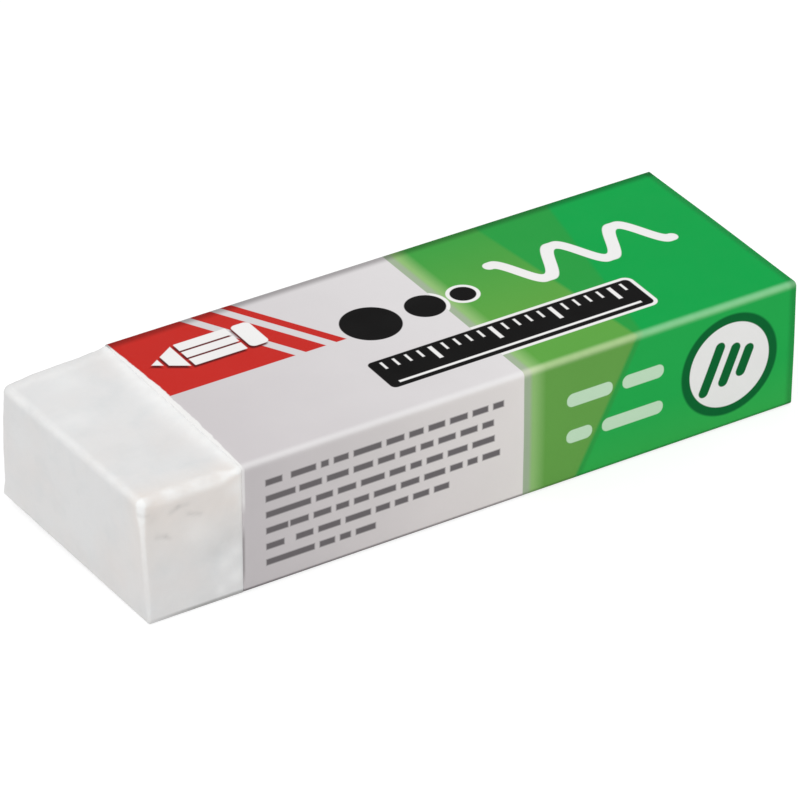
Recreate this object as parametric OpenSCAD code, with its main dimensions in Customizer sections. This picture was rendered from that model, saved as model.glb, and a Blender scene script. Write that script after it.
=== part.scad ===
// Vinyl eraser in a printed card sleeve, lying on its wide side.
// X runs along the block, with the working end at -X. Z is up.
// The origin is on the table, under the middle of the part. All sizes are in millimetres.

/* [Block] */
// Length of the block along its longer, rear side
block_l = 65.2; // [60:0.1:75]
// Width of the block where it stands free of the sleeve
block_w = 22.5; // [18:0.1:28]
// Height of the block where it stands free of the sleeve
block_h = 12.05; // [9:0.05:16]
// How much shorter the block is at its front side, where the end is cut out of square
end_skew = 1.35; // [0:0.05:2.5]
// Radius of the block's upper edges, and of its far end
edge_r = 0.5; // [0.3:0.1:1.2]
// Radius of the upper edge along the front side, which is the softest
front_edge_r = 0.9; // [0.5:0.1:1.6]
// Radius of the upright edges at the working end
upright_edge_r = 0.3; // [0.2:0.05:0.8]
// Radius of the block's sharp lower edges
lower_edge_r = 0.2; // [0.1:0.05:0.5]
// Radius of the step where the free end narrows into the sleeve
step_r = 0.3; // [0.2:0.05:0.6]

/* [Sleeve] */
// Length of the sleeve along the block
sleeve_l = 55; // [40:0.5:57]
// Thickness of the card
card_t = 0.35; // [0.25:0.05:0.4]
// Inside radius of the card's folds
fold_r = 0.05; // [0.05:0.05:0.4]
// How far the glued flap stops short of the upper fold
flap_short = 1.6; // [0.8:0.1:3]
// Height of the rear panel's raw edge above the table
raw_edge_z = 0.45; // [0.2:0.05:1.2]

/* [Print] */
// Length of the grey field, from the sleeve's mouth
grey_l = 27.5; // [20:0.5:30]
// Width of the pale strip between grey and green
pale_l = 1.5; // [0.5:0.5:3]
// Length of the lime field ahead of the deeper green
lime_l = 9.5; // [2:0.5:9.5]

/* [Fit] */
// How far the sleeve stands proud of the free end at its sides and below it
side_proud = 0.05; // [0:0.01:0.2]
// How far the sleeve stands proud of the free end on top
top_proud = 0.2; // [0.05:0.05:0.3]
// Running gap between the squeezed vinyl and the card
fit_gap = 0.05; // [0.02:0.01:0.15]
// Gap along X between the free end's step and the mouth of the sleeve
mouth_gap = 0.05; // [0.05:0.05:0.5]
// How far the far end of the block sits inside the sleeve
end_recess = 0.3; // [0:0.1:1.5]

/* [Hidden] */
$fn = 64;

total_l = block_l + end_recess;
block_x0 = -total_l / 2;
block_x1 = block_x0 + block_l;
sleeve_x1 = total_l / 2;
sleeve_x0 = sleeve_x1 - sleeve_l;

// The card's outside is all but flush with the free end. Its edge shows most on top.
sleeve_w = block_w + 2 * side_proud;
sleeve_h = block_h + side_proud + top_proud;
sleeve_y0 = -sleeve_w / 2;
sleeve_y1 = sleeve_w / 2;
outer_r = fold_r + card_t;

// The glue flap lies inside the rear panel.
flap_y1 = sleeve_y1 - card_t;
flap_y0 = flap_y1 - card_t;
flap_z1 = sleeve_h - card_t - flap_short;

// The vinyl inside the sleeve is squeezed to the room that the card leaves.
// It is seated on the bottom panel.
core_y0 = sleeve_y0 + card_t + fit_gap;
core_y1 = flap_y0 - fit_gap;
core_z0 = card_t;
core_z1 = sleeve_h - card_t - fit_gap;

// The free end has the block's full section, and ends square across at the mouth.
free_x1 = sleeve_x0 - mouth_gap;
free_y0 = -block_w / 2;
free_y1 = block_w / 2;
free_z0 = side_proud;
free_z1 = free_z0 + block_h;

// The end is cut out of square, so its rear corner is a little sharper than a right angle.
// The round of that corner reaches out to the block's full length.
skew_angle = atan2(end_skew, block_w);
rear_corner_x = block_x0 - upright_edge_r * (1 / tan(45 - skew_angle / 2) - 1);
slant_w = block_w / cos(skew_angle);

// Room to spare for tools that cut or keep a shape
spare = 5;

vinyl = [0.89, 0.89, 0.88];
grey_ink = [0.80, 0.79, 0.80];
pale_ink = [0.60, 0.76, 0.50];
lime_ink = [0.34, 0.66, 0.25];
green_ink = [0.12, 0.62, 0.29];

// Bands of ink around the sleeve from its mouth, each with its length and its colour.
// The last one fills what is left.
BANDS = [
    [grey_l, grey_ink],
    [pale_l, pale_ink],
    [lime_l, lime_ink],
    [sleeve_l - grey_l - pale_l - lime_l, green_ink],
];

// Where a band starts. Each one starts where the one before it ends.
function band_x(i) = i == 0 ? sleeve_x0 : band_x(i - 1) + BANDS[i - 1][0];

// Polygon with a radius of its own at each corner. The points run anticlockwise.
module rounded_polygon(points, radii) {
    last = len(points) - 1;
    difference() {
        polygon(points);
        for (i = [0:last])
            corner_waste(points[i],
                         points[i == 0 ? last : i - 1],
                         points[i == last ? 0 : i + 1],
                         radii[i]);
    }
}

// What a round of radius r leaves over at a corner, between its two neighbours.
module corner_waste(corner, before, after, r) {
    to_before = (before - corner) / norm(before - corner);
    to_after = (after - corner) / norm(after - corner);
    half_angle = acos(to_before * to_after) / 2;
    inward = (to_before + to_after) / norm(to_before + to_after);
    tangent_l = r / tan(half_angle);
    centre = corner + inward * r / sin(half_angle);
    difference() {
        polygon([
            corner - inward * r,
            corner + to_after * tangent_l,
            centre,
            corner + to_before * tangent_l,
        ]);
        translate(centre)
            circle(r);
    }
}

// Rectangle from (x0, y0) to (x1, y1).
// Its radii are those of the lower left, lower right, upper right and upper left corners.
module rounded_box(x0, y0, x1, y1, radii) {
    rounded_polygon([[x0, y0], [x1, y0], [x1, y1], [x0, y1]], radii);
}

// Extrudes an outline of Y and Z along X, from x0.
module along_x(x0, length) {
    translate([x0, 0, 0])
        rotate([90, 0, 90])
            linear_extrude(length)
                children();
}

// Extrudes an outline of X and Z along Y.
module along_y(y0, y1) {
    translate([0, y1, 0])
        rotate([90, 0, 0])
            linear_extrude(y1 - y0)
                children();
}

// Extrudes an outline of X and Y along Z.
module along_z(z0, z1) {
    translate([0, 0, z0])
        linear_extrude(z1 - z0)
            children();
}

// Radii of the block's section and of its side view, in the order that rounded_box takes
section_radii = [lower_edge_r, lower_edge_r, edge_r, front_edge_r];
side_radii = [lower_edge_r, lower_edge_r, edge_r, edge_r];

// Bar of the free end's section, with its step at the mouth of the sleeve
module free_bar() {
    start_x = block_x0 - spare;
    step_radii = [lower_edge_r, step_r, step_r, lower_edge_r];
    intersection() {
        along_x(start_x, block_l + 2 * spare)
            rounded_box(free_y0, free_z0, free_y1, free_z1, section_radii);
        along_z(free_z0 - spare, free_z1 + spare)
            rounded_box(start_x - spare, free_y0, free_x1, free_y1, step_radii);
        along_y(free_y0 - spare, free_y1 + spare)
            rounded_box(start_x - spare, free_z0, free_x1, free_z1, step_radii);
    }
}

// Bar of the squeezed section, with its round far end
module core_bar() {
    start_x = block_x0 - spare;
    intersection() {
        along_x(start_x, block_l + 2 * spare)
            rounded_box(core_y0, core_z0, core_y1, core_z1, section_radii);
        along_z(core_z0 - spare, core_z1 + spare)
            rounded_box(start_x - spare, core_y0, block_x1, core_y1,
                        [edge_r, edge_r, edge_r, edge_r]);
        along_y(core_y0 - spare, core_y1 + spare)
            rounded_box(start_x - spare, core_z0, block_x1, core_z1, side_radii);
    }
}

// Room that the slanted working end leaves for the block.
// It is drawn square to the slanted face, which runs from the rear corner towards -Y.
module working_end() {
    rear = [0, 0];
    front = [0, -slant_w];
    along_sides = [cos(skew_angle), -sin(skew_angle)];
    translate([rear_corner_x, free_y1, 0])
        rotate([0, 0, skew_angle])
            difference() {
                along_y(front.y - block_l, block_l)
                    rounded_box(0, free_z0, block_l + 2 * spare, free_z1, side_radii);
                along_z(free_z0 - spare, free_z1 + spare) {
                    corner_waste(rear, front, rear + along_sides, upright_edge_r);
                    corner_waste(front, front + along_sides, rear, upright_edge_r);
                }
            }
}

// One-piece vinyl block
module eraser_block() {
    color(vinyl)
        intersection() {
            union() {
                free_bar();
                core_bar();
            }
            working_end();
        }
}

// Quarter ring of a fold about (y, z), in the quadrant that (sy, sz) points to
module fold(y, z, sy, sz) {
    translate([y, z])
        intersection() {
            difference() {
                circle(outer_r);
                circle(fold_r);
            }
            translate([sy < 0 ? -outer_r : 0, sz < 0 ? -outer_r : 0])
                square(outer_r);
        }
}

// Flat panel of card from (y0, z0) to (y1, z1)
module panel(y0, z0, y1, z1) {
    translate([y0, z0])
        square([y1 - y0, z1 - z0]);
}

// Section of the folded card: four panels, and the glue flap inside the rear one
module card_section() {
    // Rear panel, down to its raw edge
    panel(flap_y1, raw_edge_z, sleeve_y1, sleeve_h - outer_r);
    fold(sleeve_y1 - outer_r, sleeve_h - outer_r, 1, 1);
    // Top panel
    panel(sleeve_y0 + outer_r, sleeve_h - card_t, sleeve_y1 - outer_r, sleeve_h);
    fold(sleeve_y0 + outer_r, sleeve_h - outer_r, -1, 1);
    // Front panel
    panel(sleeve_y0, outer_r, sleeve_y0 + card_t, sleeve_h - outer_r);
    fold(sleeve_y0 + outer_r, outer_r, -1, -1);
    // Bottom panel
    panel(sleeve_y0 + outer_r, 0, flap_y1 - outer_r, card_t);
    fold(flap_y1 - outer_r, outer_r, 1, -1);
    // Glue flap
    panel(flap_y0, outer_r, flap_y1, flap_z1);
}

// One folded and glued sheet of card, in its bands of ink
module card_sleeve() {
    for (i = [0:len(BANDS) - 1])
        color(BANDS[i][1])
            along_x(band_x(i), BANDS[i][0])
                card_section();
}

eraser_block();
card_sleeve();
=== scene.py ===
"""Looks of a white vinyl eraser in its printed card sleeve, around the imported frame.

Meshes are worked out in millimetres and stored in metres.
The sleeve's print is laid out on the flat sheet: S runs along the sleeve from its mouth, and T across it.
T is 0 at the fold between the front and the top, rises over the top and falls down the front.
"""

import math

import bpy
import numpy as np
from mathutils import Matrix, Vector, noise


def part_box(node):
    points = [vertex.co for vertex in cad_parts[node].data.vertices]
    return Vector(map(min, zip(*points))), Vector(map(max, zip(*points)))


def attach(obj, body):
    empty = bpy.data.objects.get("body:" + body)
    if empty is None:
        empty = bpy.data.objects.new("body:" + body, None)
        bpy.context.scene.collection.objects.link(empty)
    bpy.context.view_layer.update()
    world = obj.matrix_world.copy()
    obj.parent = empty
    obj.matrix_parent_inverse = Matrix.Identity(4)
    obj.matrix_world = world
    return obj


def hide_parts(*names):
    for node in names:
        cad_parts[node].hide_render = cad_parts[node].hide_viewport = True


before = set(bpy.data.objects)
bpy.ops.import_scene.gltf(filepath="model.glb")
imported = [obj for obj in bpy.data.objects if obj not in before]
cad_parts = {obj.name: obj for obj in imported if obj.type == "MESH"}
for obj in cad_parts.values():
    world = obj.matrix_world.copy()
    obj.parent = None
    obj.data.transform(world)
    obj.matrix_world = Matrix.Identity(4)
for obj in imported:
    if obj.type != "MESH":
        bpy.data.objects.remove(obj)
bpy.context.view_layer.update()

MM = 0.001

# The frame's sizes, in millimetres
sleeve_low, sleeve_high = (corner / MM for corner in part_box("card_sleeve"))
block_low, block_high = (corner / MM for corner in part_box("eraser_block"))
sleeve_l = sleeve_high.x - sleeve_low.x
sleeve_w = sleeve_high.y - sleeve_low.y
sleeve_h = sleeve_high.z - sleeve_low.z


# Card

CARD_T = 0.35
FOLD_R = 0.05
OUTER_R = FOLD_R + CARD_T
MID_R = FOLD_R + CARD_T / 2
RAW_EDGE_Z = 0.45
FLAP_SHORT = 1.6
GLUE_GAP = 0.015
# How the card's cut edges are rounded: distances from the cut, and how far each pulls the faces in
MOUTH_ROUND = ((0.0, 0.13), (0.035, 0.05), (0.12, 0.0))
FAR_ROUND = ((0.04, 0.0), (0.0, 0.04))
FOLD_STEPS = 10
ROW_STEP = 0.4
STATION_STEP = 0.8
PANEL_BOW = 0.05
# What a face of the sheet shows: its print, a cut through the card or its bare inner side
PRINTED, CUT, BARE = 0, 1, 2


def spread(start, end, step):
    """Evenly spaced numbers from start to end, about a step apart."""
    count = max(1, round(abs(end - start) / step))
    return np.linspace(start, end, count + 1)


def panel_rows(start, end, normal, t_start, t_end, panel_bow=PANEL_BOW):
    """Rows of y, z, normal y, normal z, t and bow along a flat panel, without its first point."""
    length = math.dist(start, end)
    share = spread(0, length, ROW_STEP)[1:] / length
    y = start[0] + (end[0] - start[0]) * share
    z = start[1] + (end[1] - start[1]) * share
    t = t_start + (t_end - t_start) * share
    bow = panel_bow * np.sin(np.pi * share) ** 2
    return np.column_stack([y, z, np.full_like(y, normal[0]), np.full_like(y, normal[1]), t, bow])


def fold_rows(centre, from_angle, corner_t):
    """The same rows round a quarter fold, whose normal turns clockwise from from_angle."""
    share = np.linspace(0, 1, FOLD_STEPS + 1)[1:]
    angle = np.radians(from_angle - 90 * share)
    normal_y, normal_z = np.cos(angle), np.sin(angle)
    y = centre[0] + MID_R * normal_y
    z = centre[1] + MID_R * normal_z
    t = corner_t + OUTER_R * (2 * share - 1)
    return np.column_stack([y, z, normal_y, normal_z, t, np.zeros_like(y)])


def sheet_rows():
    """Middle line of the folded sheet, from the tip of the glue flap round to the rear panel's raw edge."""
    y0, y1, top = sleeve_low.y, sleeve_high.y, sleeve_high.z
    half = CARD_T / 2
    flap_y = y1 - CARD_T - half - GLUE_GAP
    flap_top = top - CARD_T - FLAP_SHORT
    low_rear = (flap_y + half - OUTER_R, OUTER_R)
    low_front = (y0 + OUTER_R, OUTER_R)
    high_front = (y0 + OUTER_R, top - OUTER_R)
    high_rear = (y1 - OUTER_R, top - OUTER_R)
    front_t = -sleeve_h
    bottom_t = front_t - sleeve_w
    rear_t = sleeve_w
    start = np.array([[flap_y, flap_top, 1, 0, bottom_t - flap_top, 0]])
    rows = [
        start,
        panel_rows((flap_y, flap_top), (flap_y, OUTER_R), (1, 0),
                   bottom_t - flap_top, bottom_t - OUTER_R),
        fold_rows(low_rear, 0, bottom_t),
        panel_rows((low_rear[0], half), (low_front[0], half), (0, -1),
                   bottom_t + OUTER_R, front_t - OUTER_R, panel_bow=0),
        fold_rows(low_front, -90, front_t),
        panel_rows((y0 + half, OUTER_R), (y0 + half, top - OUTER_R), (-1, 0),
                   front_t + OUTER_R, -OUTER_R),
        fold_rows(high_front, 180, 0),
        panel_rows((high_front[0], top - half), (high_rear[0], top - half), (0, 1),
                   OUTER_R, rear_t - OUTER_R),
        fold_rows(high_rear, 90, rear_t),
        panel_rows((y1 - half, top - OUTER_R), (y1 - half, RAW_EDGE_Z), (1, 0),
                   rear_t + OUTER_R, rear_t + top - RAW_EDGE_Z),
    ]
    return np.vstack(rows)


def sheet_ring(rows, x, inset):
    """Closed ring round the sheet at x: its outer side, then its inner side backwards.
    The inset pulls the ring in from the card's faces and its raw edges."""
    y, z, normal_y, normal_z, t, bow = rows.T
    side = CARD_T / 2 - inset
    x = np.full_like(y, x)
    outer = np.column_stack([x, y + normal_y * (side + bow), z + normal_z * (side + bow)])
    inner = np.column_stack([x, y - normal_y * (side - bow), z - normal_z * (side - bow)])
    # The raw edges of the flap and of the rear panel both face along Z.
    outer[0, 2] -= inset
    inner[0, 2] -= inset
    outer[-1, 2] += inset
    inner[-1, 2] += inset
    return np.vstack([outer, inner[::-1]])


def face_kind(k, count):
    """What the face after a ring's point k shows. Each side of the sheet has a count of points."""
    if k < count - 1:
        return PRINTED
    return BARE if count <= k < 2 * count - 1 else CUT


def sleeve_mesh():
    """The folded sheet, as points, faces, the kind of each face and the print's S and T at each point."""
    rows = sheet_rows()
    count = len(rows)
    low, high = sleeve_low.x, sleeve_high.x
    inner_x = spread(low + MOUTH_ROUND[-1][0], high - FAR_ROUND[0][0], STATION_STEP)[1:-1]
    stations = [(low + back, inset) for back, inset in MOUTH_ROUND]
    stations += [(x, 0.0) for x in inner_x]
    stations += [(high - back, inset) for back, inset in FAR_ROUND]
    points = np.vstack([sheet_ring(rows, x, inset) for x, inset in stations])
    ring_l = 2 * count
    t = np.concatenate([rows[:, 4], rows[::-1, 4]])
    s = np.repeat([x - low for x, inset in stations], ring_l)
    print_places = np.column_stack([s, np.tile(t, len(stations)), np.zeros(len(points))])
    faces, kinds = [], []
    for i in range(len(stations) - 1):
        here, there = i * ring_l, (i + 1) * ring_l
        for k in range(ring_l):
            after = (k + 1) % ring_l
            faces.append((here + k, there + k, there + after, here + after))
            kinds.append(face_kind(k, count))
    last = (len(stations) - 1) * ring_l
    for k in range(count - 1):
        back = ring_l - 1 - k
        faces.append((k, k + 1, back - 1, back))
        faces.append((last + k, last + back, last + back - 1, last + k + 1))
        kinds += [CUT, CUT]
    return points, faces, kinds, print_places


# Block

# The end is cut out of square and worn. Each pair is for its bottom and its top:
# how far its front and rear corners stand in along X, and how far the rear ones are worn up or down.
FRONT_CUT = (1.6, 0.95)
REAR_CUT = (0.42, 0.55)
REAR_LIFT = (0.75, -0.5)
FRONT_EDGE_R = 1.1
MOUTH_EDGE_R = 0.45
REAR_EDGE_R = 0.5
END_EDGE_R = 0.8
UPRIGHT_R = 0.45
LOW_EDGE_R = 0.15
CORE_EDGE_R = 0.3
# Where one round hands over to another: each pair of distances is where that starts and where it is done
NEAR_END = (3.0, 0.8)
NEAR_FRONT = (2.6, 1.2)
NEAR_MOUTH = (2.0, 0.3)
NEAR_TOP = (3.6, 1.0)
NEAR_BOTTOM = (1.4, 0.3)
STEP_L = 0.001
FIT_GAP = 0.05
EDGE_LINES = 11
EDGE_CROWDING = 1.6
BLOCK_STEP = 0.2
CORE_STEP = 1.5

free_sides = np.array([block_low.y, block_high.y, block_low.z, block_high.z])
core_sides = np.array([
    sleeve_low.y + CARD_T + FIT_GAP,
    sleeve_high.y - 2 * CARD_T - GLUE_GAP - FIT_GAP,
    CARD_T,
    sleeve_high.z - CARD_T - FIT_GAP,
])
free_x1 = sleeve_low.x


def share_between(value, low, high):
    """0 below low, 1 above high and even in between. Low may be the larger one."""
    return np.clip((value - low) / (high - low), 0, 1)


def edge_lines():
    """Distances from an edge at which grid lines follow its round, closest together at the edge."""
    return FRONT_EDGE_R * np.linspace(0, 1, EDGE_LINES) ** EDGE_CROWDING


def side_lines(low, high, middle_count):
    """Grid lines between two sides: close together at the edges, and even between them."""
    near = edge_lines()
    middle = np.linspace(low + near[-1], high - near[-1], middle_count + 1)[1:-1]
    return np.concatenate([low + near, middle, high - near[::-1]])


def section_at(x):
    """Sides of the block at x, as y0, y1, z0, z1. It steps down to its squeezed part at the mouth."""
    return core_sides if x > free_x1 else free_sides


def between(pair, share):
    """The value at a share of the way from a pair's first to its second."""
    return pair[0] + (pair[1] - pair[0]) * share


def edge_radius(p, sides):
    """Radius of the round at each point: softest along the upper front, and sharp along the bottom."""
    y0, y1, z0, z1 = sides
    near_end = share_between(p[:, 0] - block_low.x, *NEAR_END)
    near_front = share_between(p[:, 1] - y0, *NEAR_FRONT) * (1 - near_end)
    near_mouth = share_between(free_x1 - p[:, 0], *NEAR_MOUTH)
    front_r = between((FRONT_EDGE_R, MOUTH_EDGE_R), near_mouth)
    top_r = between((between((REAR_EDGE_R, END_EDGE_R), near_end), front_r), near_front)
    near_top = share_between(z1 - p[:, 2], *NEAR_TOP)
    near_bottom = share_between(p[:, 2] - z0, *NEAR_BOTTOM)
    free_r = UPRIGHT_R + (top_r - UPRIGHT_R) * near_top + (LOW_EDGE_R - UPRIGHT_R) * near_bottom
    return np.where(p[:, 0] > free_x1, CORE_EDGE_R, free_r)


def shape_end(p):
    """Moves the points of a square end to where its cut and its wear leave them."""
    to_end = share_between(p[:, 0], free_x1 - 0.3, block_low.x)
    to_front = share_between(p[:, 1], free_sides[1], free_sides[0])
    to_top = share_between(p[:, 2], free_sides[2], free_sides[3])
    cut = between((between(REAR_CUT, to_top), between(FRONT_CUT, to_top)), to_front)
    lift = between(REAR_LIFT, to_top) * (1 - to_front)
    return p + np.column_stack([cut, np.zeros_like(cut), lift]) * to_end[:, None]


def block_mesh():
    """The block as a fine grid on all sides, with rounded edges and its end out of square."""
    x0, x1 = block_low.x, block_high.x
    near = edge_lines()
    start = x0 + near
    free = spread(start[-1], free_x1, BLOCK_STEP)[1:]
    core = spread(free_x1 + STEP_L, x1 - near[-1], CORE_STEP)
    xs = np.concatenate([start, free, core, x1 - near[::-1][1:]])
    y_count = round((free_sides[1] - free_sides[0] - 2 * near[-1]) / BLOCK_STEP)
    z_count = round((free_sides[3] - free_sides[2] - 2 * near[-1]) / BLOCK_STEP)
    number = {}
    places = []
    grid = []
    for x in xs:
        sides = section_at(x)
        lines_y = side_lines(sides[0], sides[1], y_count)
        lines_z = side_lines(sides[2], sides[3], z_count)
        grid.append((lines_y, lines_z, sides))
    ny, nz, nx = len(grid[0][0]), len(grid[0][1]), len(xs)

    def point(i, j, k):
        key = (i, j, k)
        if key not in number:
            number[key] = len(places)
            lines_y, lines_z, sides = grid[i]
            places.append((xs[i], lines_y[j], lines_z[k], *sides))
        return number[key]

    def quad(*corners):
        faces.append(tuple(point(*corner) for corner in corners))

    faces = []
    for i in range(nx - 1):
        for j in range(ny - 1):
            quad((i, j, nz - 1), (i + 1, j, nz - 1), (i + 1, j + 1, nz - 1), (i, j + 1, nz - 1))
            quad((i, j, 0), (i, j + 1, 0), (i + 1, j + 1, 0), (i + 1, j, 0))
        for k in range(nz - 1):
            quad((i, 0, k), (i + 1, 0, k), (i + 1, 0, k + 1), (i, 0, k + 1))
            quad((i, ny - 1, k), (i, ny - 1, k + 1), (i + 1, ny - 1, k + 1), (i + 1, ny - 1, k))
    for j in range(ny - 1):
        for k in range(nz - 1):
            quad((0, j, k), (0, j, k + 1), (0, j + 1, k + 1), (0, j + 1, k))
            quad((nx - 1, j, k), (nx - 1, j + 1, k), (nx - 1, j + 1, k + 1), (nx - 1, j, k + 1))
    table = np.array(places)
    p = table[:, :3]
    sides = table[:, 3:].T
    y0, y1, z0, z1 = sides
    r = edge_radius(p, sides)
    inner = np.column_stack([
        np.clip(p[:, 0], x0 + r, x1 - r),
        np.clip(p[:, 1], y0 + r, y1 - r),
        np.clip(p[:, 2], z0 + r, z1 - r),
    ])
    off = p - inner
    length = np.linalg.norm(off, axis=1, keepdims=True)
    p = inner + off / np.maximum(length, 1e-9) * np.minimum(length, r[:, None])
    return shape_end(p), faces


def normals_of(points, faces):
    """A unit normal at each point, from the faces round it."""
    quads = np.array(faces)
    a, b, c, d = (points[quads[:, n]] for n in range(4))
    face_normals = np.cross(c - a, d - b)
    normals = np.zeros_like(points)
    for n in range(4):
        np.add.at(normals, quads[:, n], face_normals)
    return normals / np.maximum(np.linalg.norm(normals, axis=1, keepdims=True), 1e-12)


# Marks of wear: place, radius, lift, and how much painted highlight or painted shade it puts on the skin. The
# first three are painted highlights at the upper front corner; the bumps get painted highlights and the dents
# painted shade.
front_y = block_low.y
top_z = block_high.z
corner_x = block_low.x + FRONT_CUT[1]
WEAR_AND_LIGHT_MARKS = [
    ((corner_x, front_y, top_z - 0.4), 0.75, 0.0, 0.3, 0.0),
    ((corner_x, front_y, top_z - 1.4), 0.7, 0.0, 0.3, 0.0),
    ((corner_x + 0.1, front_y, top_z - 2.6), 0.8, 0.0, 0.12, 0.0),
    ((corner_x + 1.2, front_y, top_z - 2.0), 0.7, -0.05, 0.0, 0.1),
    ((free_x1 - 0.7, front_y, top_z - 1.6), 0.8, 0.02, 0.4, 0.0),
    ((free_x1 - 1.6, front_y, 3.6), 0.7, 0.04, 0.35, 0.0),
    ((free_x1 - 0.6, front_y, 1.9), 0.75, 0.06, 0.5, 0.0),
    ((free_x1 - 2.1, front_y, 1.1), 0.5, 0.05, 0.4, 0.0),
    ((free_x1 - 0.5, front_y, 4.4), 0.5, 0.04, 0.35, 0.0),
    ((free_x1 - 2.4, front_y, 4.9), 0.9, -0.04, 0.0, 0.1),
    ((free_x1 - 1.0, front_y, 5.9), 0.8, -0.04, 0.0, 0.12),
    ((free_x1 - 4.4, front_y, 7.5), 1.3, 0.03, 0.3, 0.0),
    ((block_low.x + 3.0, front_y + 14.0, top_z), 1.6, 0.04, 0.25, 0.0),
    ((block_low.x + 5.0, front_y + 19.5, top_z), 1.5, 0.03, 0.3, 0.0),
    ((block_low.x + 6.4, front_y + 6.0, top_z), 1.8, -0.04, 0.0, 0.05),
]

# Fine creases in the skin of the front, each with its start, its end, its half width and how much painted
# shade lies in it.
# Their places are in X and Z, from the front's upper corner.
CREASES = [
    ((3.0, -1.9), (3.6, -1.6), 0.26, 0.18),
    ((3.6, -1.6), (4.5, -1.65), 0.2, 0.13),
    ((4.6, -2.6), (5.7, -3.0), 0.2, 0.17),
    ((1.6, -3.9), (2.4, -4.1), 0.24, 0.14),
    ((2.4, -4.1), (2.8, -4.4), 0.18, 0.16),
    ((0.2, -1.4), (0.8, -1.55), 0.18, 0.14),
]
CREASE_DEPTH = 0.035

# Unevenness of the skin, each as its waves of noise to a millimetre and its height
BROAD = (0.28, 0.05)
FINE = (0.9, 0.022)
CRUMB = (2.4, 0.01)
FRAY = (0.75, 0.1)
# How far the vinyl swells where it meets the card, on top and on the front
MOUTH_LIFT = 0.16
FRONT_LIFT = 0.1


def along_crease(points, start, end, half_w):
    """How near each point is to a crease on the front."""
    flat = points[:, [0, 2]] - (corner_x, top_z)
    start, end = np.array(start), np.array(end)
    way = end - start
    share = np.clip((flat - start) @ way / (way @ way), 0, 1)
    off = np.linalg.norm(flat - start - share[:, None] * way, axis=1)
    return np.exp(-(off / half_w) ** 2) * (points[:, 1] < front_y + 0.6)


def edge_highlight_and_shade(points, normals):
    """Painted highlights along the rounded edges and on a strip inside the rear top edge, and painted shade
    along the lower front edge and the rear top edge.
    """
    end, front, up = -normals[:, 0], -normals[:, 1], normals[:, 2]
    z = points[:, 2]
    front_edge = share_between(np.minimum(front, up), 0.05, 0.5)
    end_edge = share_between(np.minimum(end, up), 0.1, 0.6)
    upright = share_between(np.minimum(end, front), 0.08, 0.45)
    rear_edge_shade = share_between(np.minimum(-front, up), 0.1, 0.5)
    rear_ledge_highlight = np.exp(-((points[:, 1] - (block_high.y - 1.3)) / 0.5) ** 2) * (up > 0.9)
    white = 0.5 * front_edge + 0.32 * end_edge + 0.3 * rear_ledge_highlight
    white += upright * (0.14 + 0.6 * share_between(z, 4.0, top_z - 1.0))
    # Painted shade along the bottom of the front, where the block meets the floor.
    low = share_between(z, block_low.z + 0.42, block_low.z + 0.3) * (front > 0.3)
    dark = 0.75 * low * share_between(points[:, 0], corner_x - 0.5, corner_x + 5.0) + 0.3 * rear_edge_shade
    return white, dark


def mouth_swell_and_light(points, normals):
    """Where the sleeve's mouth rubs the vinyl, on the top most widely in its middle, and on the front: the
    vinyl swells there, and is painted lighter, as painted light.
    """
    before = free_x1 - points[:, 0]
    across = share_between(points[:, 1], free_sides[0], free_sides[1])
    reach = 0.5 + 0.9 * np.sin(np.pi * across)
    near = np.exp(-(before / reach) ** 2)
    on_top = 0.85 * share_between(points[:, 2], top_z - 0.35, top_z - 0.05)
    on_front = 0.4 * share_between(points[:, 2], 7.0, 9.0) * (normals[:, 1] < -0.7)
    return near * on_top, near * on_front


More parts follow.
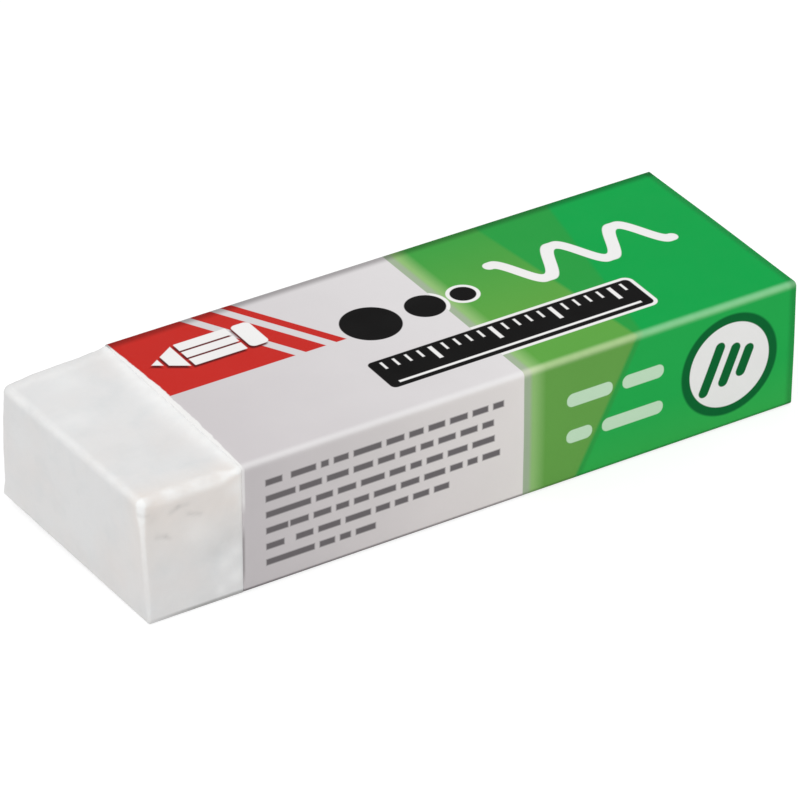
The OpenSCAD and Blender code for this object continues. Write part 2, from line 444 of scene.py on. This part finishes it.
def wear_and_light_block(points, faces):
    """Soft unevenness of the free end, as left by the knife and by handling.
    It gives the points, and for each one how much painted highlight, how warm and how much painted shade the
    skin gets."""
    normals = normals_of(points, faces)
    # The face of the step doesn't tilt what ends at it
    normals[abs(points[:, 0] - free_x1) < STEP_L / 2, 0] = 0
    normals /= np.maximum(np.linalg.norm(normals, axis=1, keepdims=True), 1e-12)
    out = points[:, 0] < free_x1 + STEP_L / 2
    shown = share_between(points[:, 0], free_x1 - 0.01, free_x1 - 0.2)
    above = share_between(points[:, 2], block_low.z, block_low.z + 1.4) * 0.85 + 0.15
    white, dark = edge_highlight_and_shade(points, normals)
    top_swell_and_light, front_swell_and_light = mouth_swell_and_light(points, normals)
    mouth_painted_light = top_swell_and_light + front_swell_and_light
    front_edge = share_between(np.minimum(-normals[:, 1], normals[:, 2]), 0.02, 0.3)
    lift = np.zeros(len(points))
    for n in np.flatnonzero(out):
        at = Vector(points[n])
        broad = noise.noise(at * BROAD[0])
        fine = noise.noise(at * FINE[0] + Vector((7, 3, 1)))
        fray = noise.noise(at * FRAY[0] + Vector((2, 9, 4)))
        crumb = noise.noise(at * CRUMB[0])
        lift[n] = BROAD[1] * broad + FINE[1] * fine + CRUMB[1] * crumb
        lift[n] += FRAY[1] * front_edge[n] * fray + FRONT_LIFT * front_swell_and_light[n]
        white[n] *= max(0.0, 0.85 + 0.8 * fray + 0.35 * crumb)
        # Painted light: the vinyl beside the mouth is whitened.
        white[n] += mouth_painted_light[n] * (1.0 + 0.3 * fine + 0.15 * crumb)
    for place, radius, height, painted_highlight, painted_shade in WEAR_AND_LIGHT_MARKS:
        near = np.exp(-np.sum((points - np.array(place)) ** 2, axis=1) / radius ** 2)
        lift += height * near
        white += painted_highlight * near
        dark += painted_shade * near
    # The creases are cut in, and painted shade is laid in them.
    for start, end, half_w, painted_shade in CREASES:
        near = along_crease(points, start, end, half_w)
        lift -= CREASE_DEPTH * near
        dark += painted_shade * near
    lift = lift * shown * above + MOUTH_LIFT * top_swell_and_light * out
    warm = share_between(points[:, 1], front_y + 3.0, front_y) * share_between(points[:, 2], 4.5, 9.5)
    skin = np.column_stack([np.clip(white, 0, 1) * out, warm * out, np.clip(dark, 0, 1) * out])
    return points + normals * lift[:, None], skin


# Node helpers

class Field:
    """A number that varies over a surface, held as an output in a material's node tree."""

    def __init__(self, tree, socket):
        self.tree = tree
        self.socket = socket

    def math(self, operation, *others, clamp=False):
        node = self.tree.nodes.new("ShaderNodeMath")
        node.operation = operation
        node.use_clamp = clamp
        for place, value in enumerate((self, *others)):
            plug(self.tree, value, node.inputs[place])
        return Field(self.tree, node.outputs[0])

    def __add__(self, other):
        return self.math("ADD", other)

    def __sub__(self, other):
        return self.math("SUBTRACT", other)

    def __mul__(self, other):
        return self.math("MULTIPLY", other)

    def __truediv__(self, other):
        return self.math("DIVIDE", other)

    def __rsub__(self, other):
        return self * -1.0 + other

    def __abs__(self):
        return self.math("ABSOLUTE")


def plug(tree, value, socket):
    """Links a field or an output to an input, or sets the input to a plain value."""
    if isinstance(value, Field):
        tree.links.new(value.socket, socket)
    elif isinstance(value, bpy.types.NodeSocket):
        tree.links.new(value, socket)
    else:
        socket.default_value = value


def either(first, *others):
    """Union of shapes given as distances: the smaller distance wins."""
    for other in others:
        first = first.math("MINIMUM", other)
    return first


def both(first, *others):
    """Where all the shapes overlap: the larger distance wins."""
    for other in others:
        first = first.math("MAXIMUM", other)
    return first


def length_of(x, y):
    return (x * x + y * y).math("SQRT")


def ramp(field, low, high, smooth=False):
    """0 below low and 1 above high, and between them in between."""
    node = field.tree.nodes.new("ShaderNodeMapRange")
    node.interpolation_type = "SMOOTHSTEP" if smooth else "LINEAR"
    plug(field.tree, field, node.inputs["Value"])
    node.inputs["From Min"].default_value = low
    node.inputs["From Max"].default_value = high
    return Field(field.tree, node.outputs["Result"])


def inside(distance, soft=0.04):
    """1 inside a shape and 0 outside it, over a soft edge in millimetres."""
    return ramp(distance * -1.0, -soft, soft)


def box_shape(s, t, s0, s1, t0, t1, r=0.0):
    """Distance to a box with rounded corners."""
    out_s = abs(s - (s0 + s1) / 2) - ((s1 - s0) / 2 - r)
    out_t = abs(t - (t0 + t1) / 2) - ((t1 - t0) / 2 - r)
    corner = length_of(out_s.math("MAXIMUM", 0.0), out_t.math("MAXIMUM", 0.0))
    return corner + both(out_s, out_t).math("MINIMUM", 0.0) - r


def disc_shape(s, t, centre_s, centre_t, r):
    return length_of(s - centre_s, t - centre_t) - r


def stroke_shape(s, t, start, end, r):
    """Distance to a straight stroke with round ends."""
    ds, dt = end[0] - start[0], end[1] - start[1]
    from_s, from_t = s - start[0], t - start[1]
    share = ((from_s * ds + from_t * dt) / (ds * ds + dt * dt)).math("ADD", 0.0, clamp=True)
    return length_of(from_s - share * ds, from_t - share * dt) - r


def paint(red, green, blue):
    """A colour as 0 to 255 on screen, as a linear colour."""
    def linear(value):
        share = value / 255
        return share / 12.92 if share <= 0.04045 else ((share + 0.055) / 1.055) ** 2.4
    return linear(red), linear(green), linear(blue), 1.0


def over(tree, below, colour, mask, blend="MIX"):
    """Lays a colour over what is below it, where the mask is."""
    node = tree.nodes.new("ShaderNodeMix")
    node.data_type = "RGBA"
    node.blend_type = blend
    plug(tree, mask, node.inputs[0])
    plug(tree, below, node.inputs[6])
    plug(tree, colour, node.inputs[7])
    return node.outputs[2]


def new_material(name):
    """A material with an empty tree, its output and its main shader."""
    material = bpy.data.materials.new(name)
    material.use_nodes = True
    tree = material.node_tree
    tree.nodes.clear()
    output = tree.nodes.new("ShaderNodeOutputMaterial")
    shader = tree.nodes.new("ShaderNodeBsdfPrincipled")
    tree.links.new(shader.outputs[0], output.inputs["Surface"])
    return material, tree, shader


def object_place(tree):
    return tree.nodes.new("ShaderNodeTexCoord").outputs["Object"]


def noise_field(tree, place, scale, detail=2.0, roughness=0.5):
    node = tree.nodes.new("ShaderNodeTexNoise")
    plug(tree, place, node.inputs["Vector"])
    node.inputs["Scale"].default_value = scale
    node.inputs["Detail"].default_value = detail
    node.inputs["Roughness"].default_value = roughness
    return Field(tree, node.outputs[0])


def bump(tree, height, distance, strength=1.0, under=None):
    """Normal of a surface whose height field rises by a distance in metres."""
    node = tree.nodes.new("ShaderNodeBump")
    plug(tree, height, node.inputs["Height"])
    node.inputs["Distance"].default_value = distance
    node.inputs["Strength"].default_value = strength
    if under:
        tree.links.new(under, node.inputs["Normal"])
    return node.outputs[0]


# Print

GREY = paint(231, 228, 229)
# Painted shade: the grey made darker towards the mouth.
GREY_MOUTH_PAINTED_SHADE = paint(213, 208, 210)
# Painted light: the inks for the front panel are the top's inks made lighter or darker for that panel, and
# its green lightens towards the bottom.
FRONT_GREY_PAINTED_LIGHT = paint(238, 233, 231)
FRONT_GREY_MOUTH_PAINTED_SHADE = paint(203, 198, 200)
PALE = paint(168, 186, 158)
SOFT_LIME = paint(150, 196, 122)
LIME = paint(98, 170, 71)
REAR_LIME = paint(66, 164, 68)
FRONT_LIME_PAINTED_LIGHT = paint(106, 168, 78)
MID_GREEN = paint(40, 161, 68)
FRONT_MID_GREEN_PAINTED_LIGHT = paint(50, 164, 74)
GREEN = paint(9, 168, 75)
FRONT_GREEN_PAINTED_LIGHT = paint(36, 177, 81)
FRONT_GREEN_LOW_PAINTED_LIGHT = paint(52, 180, 82)
RED = paint(203, 44, 37)
DARK_RED = paint(96, 14, 16)
BLACK = paint(5, 4, 4)
WHITE = paint(248, 247, 246)
DASH_GREY = paint(112, 108, 110)
RING_GREEN = paint(6, 104, 50)
PALE_GREEN = paint(205, 236, 205)
# Partly painted highlight: the yellowish pale laid over the front fold, along with its worn ink.
PALE_FOLD_WEAR_AND_HIGHLIGHT = paint(250, 240, 180)
# Painted shade, multiplied over the print at the folds, the far edge and beside the mouth.
PAINTED_FOLD_SHADE = paint(120, 116, 117)
MOTTLE = paint(225, 225, 225)
FIBRE = paint(196, 192, 186)

# Where the grey half ends, and where the borders of the deeper greens stand at the front fold
GREY_END = 27.3
MID_START = 38.6
GREEN_START = 39.2
MID_LEAN = 0.09
GREEN_LEAN = -0.22
FRONT_LEAN = -0.5
BORDER_SOFT = 0.2
# White rim round the black shapes on the green
RIM_W = 0.35


class Sheet:
    """The flat sheet while it is printed: its two directions, and the colour so far."""

    def __init__(self, tree, s, t, ground):
        self.tree, self.s, self.t = tree, s, t
        self.colour = ground

    def lay(self, ink, mask, blend="MIX"):
        self.colour = over(self.tree, self.colour, ink, mask, blend)

    def on_green(self):
        return ramp(self.s, GREY_END - 0.04, GREY_END + 0.04)


def print_fields(sheet):
    """Fields of colour: grey at the mouth, then a pale strip and three greens with leaning borders. The front
    panel has its own copy of each ink, lighter or darker than on the top, as painted light, and the grey is
    painted darker towards the mouth, as painted shade.
    """
    s, t = sheet.s, sheet.t
    on_front = ramp(t, 0.1, -0.3)
    above = t.math("MAXIMUM", 0.0).math("MINIMUM", sleeve_w)
    below = t.math("MINIMUM", 0.0).math("MAXIMUM", -sleeve_h)
    past_mid = s + above * MID_LEAN + below * FRONT_LEAN - MID_START
    past_green = s + above * GREEN_LEAN + below * FRONT_LEAN - GREEN_START
    lime = over(sheet.tree, LIME, REAR_LIME, ramp(t, 8.0, 21.0))
    front_green_painted_light = over(sheet.tree, FRONT_GREEN_PAINTED_LIGHT, FRONT_GREEN_LOW_PAINTED_LIGHT, ramp(t, -7.0, -11.5))
    fields = (
        # Each field has a top ink and a front ink; the front ink is painted light.
        (GREY, FRONT_GREY_PAINTED_LIGHT, 1.0),
        (GREY_MOUTH_PAINTED_SHADE, FRONT_GREY_MOUTH_PAINTED_SHADE, ramp(s, GREY_END, 0.0)),
        (PALE, PALE, sheet.on_green()),
        (SOFT_LIME, SOFT_LIME, ramp(s, GREY_END + 0.5, GREY_END + 0.9)),
        (lime, FRONT_LIME_PAINTED_LIGHT, ramp(s, GREY_END + 1.0, GREY_END + 2.2)),
        (MID_GREEN, FRONT_MID_GREEN_PAINTED_LIGHT, ramp(past_mid, -BORDER_SOFT, BORDER_SOFT)),
        (GREEN, front_green_painted_light, ramp(past_green, -BORDER_SOFT, BORDER_SOFT)),
    )
    for top_ink, front_ink, mask in fields:
        sheet.lay(over(sheet.tree, top_ink, front_ink, on_front), mask)


def print_flag(sheet):
    """Red flag at the mouth along the rear fold, with two stripes after it and a plain white pencil."""
    s, t = sheet.s, sheet.t
    low, high, slant, stripe_gap = 12.4, 32.0, 0.55, 1.0
    before_mouth = -20.0
    start = before_mouth
    for end in (12.6, 15.6, 17.6):
        sheet.lay(RED, inside(flag_shape(s, t, start, end, low, high, slant)))
        start = end + stripe_gap
    pencil = {"tip_s": 1.6, "middle_t": 17.4, "half_w": 1.9, "length": 10.4}
    sheet.lay(DARK_RED, inside(pencil_shape(s + 0.25, t + 0.3, **pencil), 0.12))
    sheet.lay(WHITE, inside(pencil_shape(s, t, **pencil)))


def flag_shape(s, t, s0, s1, t0, t1, slant):
    """A band across T whose ends lean, with S counted along its lower side."""
    along = s + (t - t0) * slant
    return both(along * -1.0 + s0, along - s1, t * -1.0 + t0, t - t1)


def pencil_shape(s, t, tip_s, middle_t, half_w, length):
    """A plain pencil lying along S: its point, its lined shaft and its cap."""
    point_l = 3.0
    neck = tip_s + point_l
    side = abs(t - middle_t)
    flank = (side - (s - tip_s) * (half_w / point_l)) * 0.85
    lead = both(flank, s - (tip_s + 0.85))
    cone = both(flank, s * -1.0 + (tip_s + 1.25), s - (neck - 0.2))
    end = tip_s + length
    shaft = box_shape(s, t, neck + 0.15, end - 2.2, middle_t - half_w, middle_t + half_w, r=0.1)
    shaft = both(shaft, abs(side - half_w / 3) * -1.0 + 0.12)
    cap = box_shape(s, t, end - 1.8, end, middle_t - half_w, middle_t + half_w, r=0.5)
    return either(lead, cone, shaft, cap)


def near_marks(place, pitch):
    """Distance to the nearest of marks that stand a pitch apart."""
    return abs((place / pitch + 0.5).math("FRACT") - 0.5) * pitch


def print_ruler(sheet):
    """Black ruler along the front of the top, with white ticks at its rear side and a stripe at its front."""
    s, t = sheet.s, sheet.t
    start, end, low, high, pitch = 16.8, 43.0, 3.7, 8.1, 1.2
    ruler = box_shape(s, t, start, end, low, high, r=0.5)
    short = both(near_marks(s - start, pitch) - 0.12, t * -1.0 + (high - 1.5))
    tall = both(near_marks(s - start, pitch * 5) - 0.2, t * -1.0 + (high - 2.4))
    ends = both(t - (high - 0.4), s * -1.0 + (start + 0.8), s - (end - 0.8))
    stripe = box_shape(s, t, start + 1.0, end - 1.0, low + 0.55, low + 0.85)
    sheet.lay(WHITE, inside(ruler - RIM_W) * sheet.on_green())
    sheet.lay(BLACK, inside(ruler))
    sheet.lay(WHITE, inside(either(both(either(short, tall), ends), stripe)))


def print_discs(sheet):
    """Three black discs, each smaller than the last, with a white rim on the green."""
    middle_t = 13.4
    sizes = ((20.6, 2.7), (26.0, 1.8), (29.8, 1.15))
    discs = either(*(disc_shape(sheet.s, sheet.t, place, middle_t, r) for place, r in sizes))
    sheet.lay(WHITE, inside(discs - RIM_W) * sheet.on_green())
    sheet.lay(BLACK, inside(discs))


def print_wave(sheet):
    """Hand-drawn white wave along the green half, from a crest to a trough."""
    s, t = sheet.s, sheet.t
    start, pitch, turns, middle_t, height, half_w = 34.2, 6.4, 2.5, 14.0, 2.1, 0.6
    rate = 2 * math.pi / pitch
    half_l = pitch * turns / 2
    turn = (s - start) * rate
    steep = turn.math("SINE") * (height * rate)
    off = abs(t - middle_t - turn.math("COSINE") * height) / (steep * steep + 1.0).math("SQRT")
    wave = both(off - half_w, abs(s - start - half_l) - half_l)
    for end_s, end_t in ((start, middle_t + height), (start + 2 * half_l, middle_t - height)):
        wave = either(wave, disc_shape(s, t, end_s, end_t, half_w))
    sheet.lay(WHITE, inside(wave))


def print_rows(sheet):
    """Rows of short dashes on the grey half of the front, the last rows shorter."""
    s, t, tree = sheet.s, sheet.t, sheet.tree
    rows, pitch, first_t, half_h = 6, 1.55, -1.5, 0.3
    start, end, shorter = 2.2, 25.2, 5.5
    stretch, word_gap, first_l, hard = 0.46, 0.24, 1.6, 50.0
    row_shift = 9.37
    down = (t - first_t) * -1.0
    row = (down / pitch).math("FLOOR")
    across = abs(down - row * pitch - pitch / 2) - half_h
    along = s * stretch + row * row_shift
    edges = tree.nodes.new("ShaderNodeTexVoronoi")
    edges.voronoi_dimensions = "1D"
    edges.feature = "DISTANCE_TO_EDGE"
    edges.inputs["Scale"].default_value = 1.0
    plug(tree, along, edges.inputs["W"])
    cells = tree.nodes.new("ShaderNodeTexVoronoi")
    cells.voronoi_dimensions = "1D"
    cells.feature = "F1"
    cells.inputs["Scale"].default_value = 1.0
    plug(tree, along, cells.inputs["W"])
    word_s = (Field(tree, cells.outputs["W"]) - row * row_shift) / stretch
    row_end = (row - (rows - 3)).math("MAXIMUM", 0.0) * -shorter + end
    words = Field(tree, edges.outputs["Distance"]) / -stretch + word_gap
    words = both(words, (start + first_l + 1.2 - word_s) * hard, (word_s - row_end) * hard)
    first = both(s * -1.0 + start, s - (row * 0.77).math("FRACT") * 1.6 - start - first_l)
    dash = both(across, either(first, words))
    dash = both(dash, t - first_t, down - rows * pitch)
    sheet.lay(DASH_GREY, inside(dash, 0.08))


def print_badge(sheet):
    """White disc in a dark ring with three slanted strokes, at the far end of the front."""
    s, t = sheet.s, sheet.t
    centre_s, centre_t = 48.2, -6.0
    disc_r, lean, stroke_r = 4.1, 0.4, 0.5
    disc = disc_shape(s, t, centre_s, centre_t, disc_r)
    sheet.lay(RING_GREEN, ramp(disc, 0.95, 0.75))
    sheet.lay(WHITE, inside(disc))
    strokes = []
    for place, half_l in ((-1.8, 2.0), (0.0, 1.5), (1.6, 1.0)):
        low = (centre_s + place - half_l * lean, centre_t - half_l)
        high = (centre_s + place + half_l * lean, centre_t + half_l)
        strokes.append(stroke_shape(s, t, low, high, stroke_r))
    sheet.lay(RING_GREEN, inside(either(*strokes)))


def print_lines(sheet):
    """Two rows of pale bars on the green half of the front."""
    bar_h, end_r = 1.3, 0.6
    bars = ((31.6, 36.2, -3.6), (37.2, 41.4, -3.6), (31.6, 34.2, -7.2), (35.2, 41.4, -7.2))
    lines = either(*(box_shape(sheet.s, sheet.t, s0, s1, t1 - bar_h, t1, r=end_r) for s0, s1, t1 in bars))
    sheet.lay(PALE_GREEN, inside(lines))


def print_wear_and_shade(sheet, speckle):
    """Paints the front fold paler, as worn ink and a painted highlight, and takes the ink off the mouth's
    edge. Paints shade at the other folds, along the far edge and low on the front beside the mouth.
    """
    s, t = sheet.s, sheet.t
    # The front fold is painted paler: ink worn thin over the fold, and a painted highlight along its round.
    pale = sheet.tree.nodes.new("ShaderNodeGamma")
    plug(sheet.tree, sheet.colour, pale.inputs["Color"])
    pale.inputs["Gamma"].default_value = 0.55
    front = ramp(abs(t - 0.05), 0.76, 0.0, smooth=True) * (speckle * 0.3 + 0.78)
    sheet.lay(pale.outputs[0], front * 0.88)
    sheet.lay(WHITE, front * 0.1)
    sheet.lay(PALE_FOLD_WEAR_AND_HIGHLIGHT, front * sheet.on_green() * 0.16)
    # The mouth's edge has lost its ink, most of all in the middle of the top
    top_loss = (t * (math.pi / sleeve_w)).math("SINE").math("MAXIMUM", 0.0) * 0.36 + 0.12
    front_loss = ramp(t, -4.6, -3.4)
    lost = ramp(s - top_loss * (speckle * 0.8 + 0.6), 0.06, -0.06)
    sheet.lay(WHITE, lost * ramp(t, -0.3, 0.1))
    sheet.lay(WHITE, ramp(s, 0.32, 0.2) * front_loss * ramp(t, 0.1, -0.3) * 0.6)
    # Painted shade: a soft dark band along the rear fold, a dark line along the bottom fold of the front, a
    # softer band along the far edge, and a line low on the front beside the mouth.
    past_rear = t - sleeve_w
    rear = ramp(past_rear, -1.4, -0.45, smooth=True) * ramp(past_rear, 0.58, 0.44)
    low = ramp(abs(t + sleeve_h - 0.08), 0.4, 0.2) * (sheet.on_green() * -0.5 + 1.0)
    far = ramp(s, sleeve_l - 0.9, sleeve_l - 0.3, smooth=True)
    near = ramp(s, 0.22, 0.1) * ramp(t, -5.6, -7.0) * ramp(t, -11.6, -10.0)
    sheet.lay(PAINTED_FOLD_SHADE, (rear * 0.8 + low + far * 0.4 + near * 0.6).math("MINIMUM", 1.0) * 0.75, "MULTIPLY")


def printed_card():
    """Coated card, printed on its outer side."""
    material, tree, shader = new_material("printed_card")
    place = tree.nodes.new("ShaderNodeAttribute")
    place.attribute_name = "print_mm"
    split = tree.nodes.new("ShaderNodeSeparateXYZ")
    tree.links.new(place.outputs["Vector"], split.inputs[0])
    sheet = Sheet(tree, Field(tree, split.outputs["X"]), Field(tree, split.outputs["Y"]), GREY)
    print_fields(sheet)
    print_flag(sheet)
    print_ruler(sheet)
    print_discs(sheet)
    print_wave(sheet)
    print_rows(sheet)
    print_badge(sheet)
    print_lines(sheet)
    print_wear_and_shade(sheet, noise_field(tree, object_place(tree), 900, 3.0))
    mottle = noise_field(tree, object_place(tree), 160, 4.0)
    sheet.lay(MOTTLE, ramp(mottle, 0.3, 0.7) * 0.12, "MULTIPLY")
    plug(tree, sheet.colour, shader.inputs["Base Color"])
    gloss = noise_field(tree, object_place(tree), 420, 3.0)
    plug(tree, gloss * 0.16 + 0.42, shader.inputs["Roughness"])
    shader.inputs["Specular IOR Level"].default_value = 0.04
    grain = noise_field(tree, object_place(tree), 5200, 3.0, 0.6)
    sag = noise_field(tree, object_place(tree), 260, 1.0)
    normal = bump(tree, grain, 0.000004)
    plug(tree, bump(tree, sag, 0.00003, under=normal), shader.inputs["Normal"])
    return material


def bare_card(name, colour, roughness):
    """Unprinted board, on the inside and at the cut edges."""
    material, tree, shader = new_material(name)
    place = object_place(tree)
    fibres = noise_field(tree, place, 1800, 4.0, 0.6)
    fibrous = over(tree, colour, FIBRE, ramp(fibres, 0.45, 0.8) * 0.35)
    plug(tree, fibrous, shader.inputs["Base Color"])
    shader.inputs["Roughness"].default_value = roughness
    shader.inputs["Specular IOR Level"].default_value = 0.2
    plug(tree, bump(tree, fibres, 0.00001), shader.inputs["Normal"])
    return material


# Vinyl

SKIN = paint(231, 231, 231)
SKIN_GREY = paint(217, 220, 221)
SKIN_CLOUD = paint(232, 225, 221)
SKIN_WARM = paint(240, 229, 220)
# Painted highlight and painted shade, laid over the skin where it is marked.
SKIN_PAINTED_HIGHLIGHT = paint(252, 252, 251)
SKIN_PAINTED_SHADE = paint(150, 150, 148)


def vinyl():
    """White vinyl: soft, slightly waxy, with a faintly uneven skin, lighter where highlights are painted
    on its edges, bumps and beside the mouth, and darker where shade is painted in its creases and dents and
    along its lower and rear edges."""
    material, tree, shader = new_material("vinyl")
    place = object_place(tree)
    skin = tree.nodes.new("ShaderNodeAttribute")
    skin.attribute_name = "skin"
    split = tree.nodes.new("ShaderNodeSeparateXYZ")
    tree.links.new(skin.outputs["Vector"], split.inputs[0])
    white = Field(tree, split.outputs["X"])
    warm = Field(tree, split.outputs["Y"])
    dark = Field(tree, split.outputs["Z"])
    cloud = noise_field(tree, place, 140, 2.0)
    grey = noise_field(tree, place, 420, 3.0)
    colour = over(tree, SKIN, SKIN_GREY, ramp(grey, 0.45, 0.8) * 0.5)
    colour = over(tree, colour, SKIN_CLOUD, ramp(cloud, 0.4, 0.75) * 0.5)
    colour = over(tree, colour, SKIN_WARM, warm * (cloud * 0.6 + 0.25))
    colour = over(tree, colour, SKIN_PAINTED_HIGHLIGHT, white)
    colour = over(tree, colour, SKIN_PAINTED_SHADE, dark)
    plug(tree, colour, shader.inputs["Base Color"])
    sheen = noise_field(tree, place, 300, 3.0)
    plug(tree, sheen * 0.2 + 0.46, shader.inputs["Roughness"])
    shader.inputs["Specular IOR Level"].default_value = 0.3
    shader.inputs["Subsurface Weight"].default_value = 0.2
    shader.inputs["Subsurface Radius"].default_value = (1.0, 0.95, 0.9)
    shader.inputs["Subsurface Scale"].default_value = 0.0005
    fine = noise_field(tree, place, 3600, 4.0, 0.65)
    soft = noise_field(tree, place, 700, 3.0)
    normal = bump(tree, fine, 0.000012)
    plug(tree, bump(tree, soft, 0.00006, under=normal), shader.inputs["Normal"])
    return material


# Pieces

def add_mesh(name, points, faces, materials, kinds=None):
    """A mesh object from points in millimetres, smooth apart from its sharp edges."""
    mesh = bpy.data.meshes.new(name)
    mesh.from_pydata([tuple(p) for p in np.asarray(points) * MM], [], faces)
    for material in materials:
        mesh.materials.append(material)
    if kinds is not None:
        mesh.polygons.foreach_set("material_index", kinds)
    mesh.polygons.foreach_set("use_smooth", [True] * len(faces))
    mesh.update()
    mesh.validate()
    piece = bpy.data.objects.new(name, mesh)
    bpy.context.scene.collection.objects.link(piece)
    return piece


def add_vectors(piece, name, vectors):
    """A vector at each point of a mesh, for its material to read."""
    attribute = piece.data.attributes.new(name, "FLOAT_VECTOR", "POINT")
    attribute.data.foreach_set("vector", vectors.astype(np.float32).ravel())


def add_block():
    points, faces = block_mesh()
    points, skin = wear_and_light_block(points, faces)
    block = add_mesh("vinyl_block", points, faces, [vinyl()])
    block.data.set_sharp_from_angle(angle=math.radians(60))
    add_vectors(block, "skin", skin)
    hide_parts("eraser_block")
    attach(block, "block")


def add_sleeve():
    points, faces, kinds, places = sleeve_mesh()
    materials = [printed_card(), bare_card("cut_card", paint(246, 245, 243), 0.8),
                 bare_card("inner_card", paint(222, 217, 208), 0.75)]
    sleeve = add_mesh("folded_sleeve", points, faces, materials, kinds)
    add_vectors(sleeve, "print_mm", places)
    sleeve.data.set_sharp_from_angle(angle=math.radians(50))
    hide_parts("card_sleeve")
    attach(sleeve, "sleeve")


# Studio

def seen_field(tree):
    """1 for what is seen straight, mirrored or through glass, and 0 for light that falls on things."""
    path = tree.nodes.new("ShaderNodeLightPath")
    seen = Field(tree, path.outputs["Is Camera Ray"]).math("MAXIMUM", path.outputs["Is Glossy Ray"])
    return seen.math("MAXIMUM", path.outputs["Is Transmission Ray"])


def add_floor():
    """A pale floor. The camera sees it white, with a faint shadow of the object.
    It lies a hair below the sleeve, so that the two don't share a plane."""
    mesh = bpy.data.meshes.new("floor")
    half, low = 3.0, -0.00002
    corners = [(-half, -half, low), (half, -half, low), (half, half, low), (-half, half, low)]
    mesh.from_pydata(corners, [], [(0, 1, 2, 3)])
    floor = bpy.data.objects.new("floor", mesh)
    bpy.context.scene.collection.objects.link(floor)
    material = bpy.data.materials.new("floor")
    material.use_nodes = True
    tree = material.node_tree
    tree.nodes.clear()
    output = tree.nodes.new("ShaderNodeOutputMaterial")
    lit = tree.nodes.new("ShaderNodeBsdfDiffuse")
    lit.inputs["Color"].default_value = (0.8, 0.8, 0.8, 1)
    shown_lit = tree.nodes.new("ShaderNodeBsdfDiffuse")
    shown_lit.inputs["Color"].default_value = (0.3, 0.3, 0.3, 1)
    shown_glow = tree.nodes.new("ShaderNodeEmission")
    shown_glow.inputs["Strength"].default_value = 0.78
    shown = tree.nodes.new("ShaderNodeAddShader")
    tree.links.new(shown_lit.outputs[0], shown.inputs[0])
    tree.links.new(shown_glow.outputs[0], shown.inputs[1])
    mix = tree.nodes.new("ShaderNodeMixShader")
    tree.links.new(seen_field(tree).socket, mix.inputs[0])
    tree.links.new(lit.outputs[0], mix.inputs[1])
    tree.links.new(shown.outputs[0], mix.inputs[2])
    tree.links.new(mix.outputs[0], output.inputs["Surface"])
    mesh.materials.append(material)


def add_world(light):
    """Even soft light from all round. What is seen of it, straight or mirrored, is plain white."""
    world = bpy.data.worlds.new("studio")
    bpy.context.scene.world = world
    world.use_nodes = True
    tree = world.node_tree
    tree.nodes.clear()
    output = tree.nodes.new("ShaderNodeOutputWorld")
    lighting = tree.nodes.new("ShaderNodeBackground")
    lighting.inputs["Color"].default_value = (1, 1, 1, 1)
    lighting.inputs["Strength"].default_value = light
    backdrop = tree.nodes.new("ShaderNodeBackground")
    backdrop.inputs["Color"].default_value = (1, 1, 1, 1)
    mix = tree.nodes.new("ShaderNodeMixShader")
    tree.links.new(seen_field(tree).socket, mix.inputs[0])
    tree.links.new(lighting.outputs[0], mix.inputs[1])
    tree.links.new(backdrop.outputs[0], mix.inputs[2])
    tree.links.new(mix.outputs[0], output.inputs["Surface"])


def add_lamp(name, place, aim, size, power):
    """A square soft light that looks at a point."""
    lamp = bpy.data.lights.new(name, "AREA")
    lamp.size = size
    lamp.energy = power
    holder = bpy.data.objects.new(name, lamp)
    holder.location = place
    holder.rotation_euler = (Vector(aim) - Vector(place)).to_track_quat("-Z", "Y").to_euler()
    bpy.context.scene.collection.objects.link(holder)


def add_camera():
    """The photograph's camera, fitted to the sleeve's edges."""
    camera = bpy.data.cameras.new("camera")
    camera.lens = 256.94
    camera.sensor_width = 36
    camera.clip_start = 0.01
    camera.clip_end = 20
    holder = bpy.data.objects.new("camera", camera)
    holder.location = (-0.217022, -0.345915, 0.262129)
    holder.rotation_euler = (1.00959, -0.00117, -0.55925)
    bpy.context.scene.collection.objects.link(holder)
    bpy.context.scene.camera = holder


add_camera()
add_block()
add_sleeve()
add_floor()
add_world(light=0.75)
add_lamp("key", place=(-0.5, -0.35, 0.9), aim=(0, 0, 0), size=0.6, power=3.0)
bpy.context.scene.view_settings.view_transform = "Standard"
